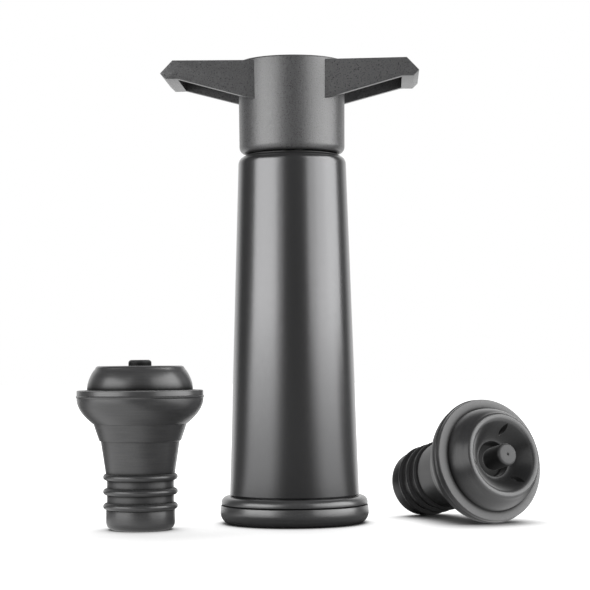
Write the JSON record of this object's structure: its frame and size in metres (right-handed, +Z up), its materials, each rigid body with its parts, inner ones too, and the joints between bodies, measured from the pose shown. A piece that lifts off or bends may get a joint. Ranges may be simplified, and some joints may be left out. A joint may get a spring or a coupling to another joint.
{
  "type": "wine vacuum pump",
  "caption": "Hand vacuum pump for wine bottles: T handle on a sliding plunger, tapered sleeve, round foot, with an upright and a lying rubber valve stopper.",
  "frame": {"origin": "on the table, under the middle of the box round the whole set of pump and stoppers", "axes": "+Z up along the pump's axis, +X from the upright stopper to the lying one, +Y away from the viewer of the picture"},
  "size_m": [0.1274, 0.064, 0.1282],
  "materials": {
    "handle_plastic": "spark-textured dark grey moulding",
    "sleeve_paint": "satin gunmetal paint on a sheet metal sleeve",
    "foot_rubber": "satin dark grey moulding",
    "stopper_rubber": "satin dark grey rubber",
    "seal_rubber": "soft black rubber",
    "inner_plastic": "plain black moulding",
    "bush_plastic": "smooth off-white acetal",
    "clear_plastic": "smooth grey tube",
    "rod_metal": "satin drawn rod",
    "screw_steel": "plain zinc-plated steel"
  },
  "bodies": {
    "barrel": {"base_ring": "foot_rubber", "base_carrier": "inner_plastic", "mouth_gasket": "seal_rubber", "outer_sleeve": "sleeve_paint", "cylinder": "clear_plastic", "cylinder_o_ring": "seal_rubber", "top_collar": "inner_plastic", "rod_bush": "bush_plastic", "stop_bumper": "seal_rubber"},
    "piston": {"piston_head": "bush_plastic", "piston_seal": "seal_rubber", "piston_washer": "screw_steel"},
    "plunger": {"plunger_rod": "rod_metal", "piston_screw": "screw_steel", "t_handle": "handle_plastic", "handle_screw": "screw_steel", "hub_cap": "handle_plastic"},
    "upright_stopper": {"upright_stopper_body": "stopper_rubber"},
    "upright_valve": {"upright_stopper_valve": "stopper_rubber"},
    "lying_stopper": {"lying_stopper_body": "stopper_rubber"},
    "lying_valve": {"lying_stopper_valve": "stopper_rubber"}
  },
  "joints": [
    {"name": "pump_stroke", "type": "slide", "parent": "barrel", "child": "piston", "axis": [0, 0, 1], "range_m": [0, 0.066]},
    {"name": "handle_swivel", "type": "hinge", "parent": "piston", "child": "plunger", "pos_m": [-0.00511, 0.00257, 0.11], "axis": [0, 0, 1], "continuous": true},
    {"name": "upright_lift", "type": "slide", "parent": "barrel", "child": "upright_stopper", "axis": [0, 0, 1], "range_m": [0, 0.05]},
    {"name": "lying_lift", "type": "slide", "parent": "barrel", "child": "lying_stopper", "axis": [0, 0, 1], "range_m": [0, 0.05]},
    {"name": "upright_valve_tilt", "type": "hinge", "parent": "upright_stopper", "child": "upright_valve", "pos_m": [-0.04641, -0.01473, 0.0388], "axis": [1, 0, 0], "range_deg": [-12, 12], "stiffness_Nm_per_rad": 0.005},
    {"name": "lying_valve_tilt", "type": "hinge", "parent": "lying_stopper", "child": "lying_valve", "pos_m": [0.04974, -0.00469, 0.01758], "axis": [0.8607, 0.509, 0], "range_deg": [-12, 12], "stiffness_Nm_per_rad": 0.005}
  ]
}
